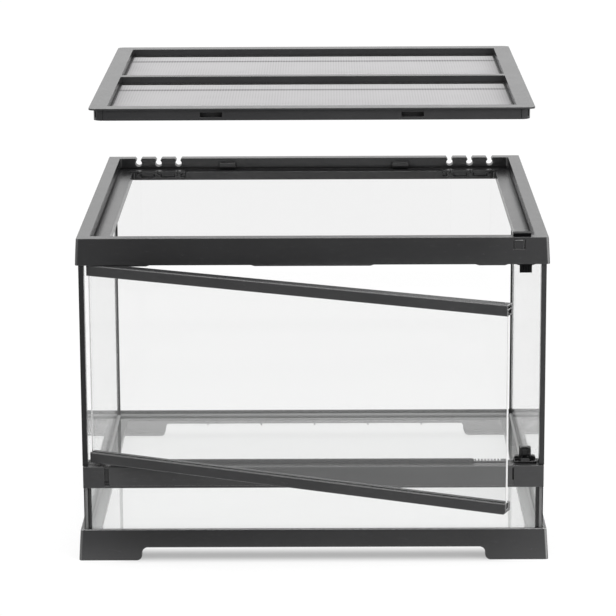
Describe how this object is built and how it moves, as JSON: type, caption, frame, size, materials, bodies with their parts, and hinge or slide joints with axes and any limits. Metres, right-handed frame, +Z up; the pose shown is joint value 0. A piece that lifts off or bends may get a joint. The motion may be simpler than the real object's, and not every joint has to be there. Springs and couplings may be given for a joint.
{
  "type": "reptile terrarium",
  "caption": "Front-opening glass terrarium with moulded base and top frames, a side-hung door, a vented crossbar, latches and a lift-off screen lid.",
  "frame": {"origin": "centre of the footprint on the surface that the feet stand on", "axes": "+X to the right seen from the front, +Y from the door towards the back, +Z up"},
  "size_m": [0.461, 0.6334, 0.4458],
  "materials": {
    "frame_plastic": "fine-grained satin moulding",
    "trim_plastic": "fine-grained satin moulding",
    "latch_black": "semi-gloss moulding",
    "clear_glass": "polished float glass",
    "door_glass": "polished float glass",
    "silicone": "smooth cured sealant",
    "screen": "fine woven wire",
    "spring_steel": "drawn wire"
  },
  "bodies": {
    "tank": {"base_frame": "frame_plastic", "floor_glass": "clear_glass", "left_glass": "clear_glass", "right_glass": "clear_glass", "rear_glass": "clear_glass", "front_lower_glass": "clear_glass", "floor_silicone": "silicone", "silicone_rear_left": "silicone", "silicone_rear_right": "silicone", "silicone_front_left": "silicone", "silicone_front_right": "silicone", "edge_trim_left": "frame_plastic", "edge_trim_right": "frame_plastic", "crossbar_beam": "frame_plastic", "crossbar_cover": "trim_plastic", "crossbar_cap_left": "frame_plastic", "crossbar_cap_right": "frame_plastic", "vent_grille": "trim_plastic", "stop_ridge": "trim_plastic", "top_frame": "frame_plastic", "inlet_clip_left": "frame_plastic", "inlet_clip_right": "frame_plastic", "catch_spring": "spring_steel"},
    "door": {"door_glass": "door_glass", "door_rail_top": "frame_plastic", "door_rail_bottom": "frame_plastic", "hinge_pin_top": "spring_steel", "hinge_pin_bottom": "spring_steel"},
    "top_bolt": {"top_bolt": "latch_black"},
    "lock_button": {"lock_button": "trim_plastic"},
    "bottom_catch": {"bottom_catch": "latch_black"},
    "lid": {"lid_frame": "trim_plastic", "lid_mesh_front": "screen", "lid_mesh_rear": "screen", "mesh_retainer_front": "trim_plastic", "mesh_retainer_rear": "trim_plastic"}
  },
  "joints": [
    {"name": "door_hinge", "type": "hinge", "parent": "tank", "child": "door", "pos_m": [-0.21, -0.22, 0.195], "axis": [0, 0, -1], "range_deg": [-24.5, 75.5]},
    {"name": "lid_lift", "type": "slide", "parent": "tank", "child": "lid", "axis": [0, 0, 1], "range_m": [-0.124, 0]},
    {"name": "top_bolt_slide", "type": "slide", "parent": "tank", "child": "top_bolt", "axis": [0, 0, 1], "range_m": [0, 0.0112]},
    {"name": "bottom_catch_press", "type": "slide", "parent": "tank", "child": "bottom_catch", "axis": [0, 0, 1], "range_m": [-0.0024, 0], "stiffness_N_per_m": 350, "springref_m": 0.003, "deforming": ["catch_spring"]},
    {"name": "lock_button_press", "type": "slide", "parent": "tank", "child": "lock_button", "axis": [0, 1, 0], "range_m": [0, 0.0015], "stiffness_N_per_m": 300, "springref_m": -0.002}
  ]
}
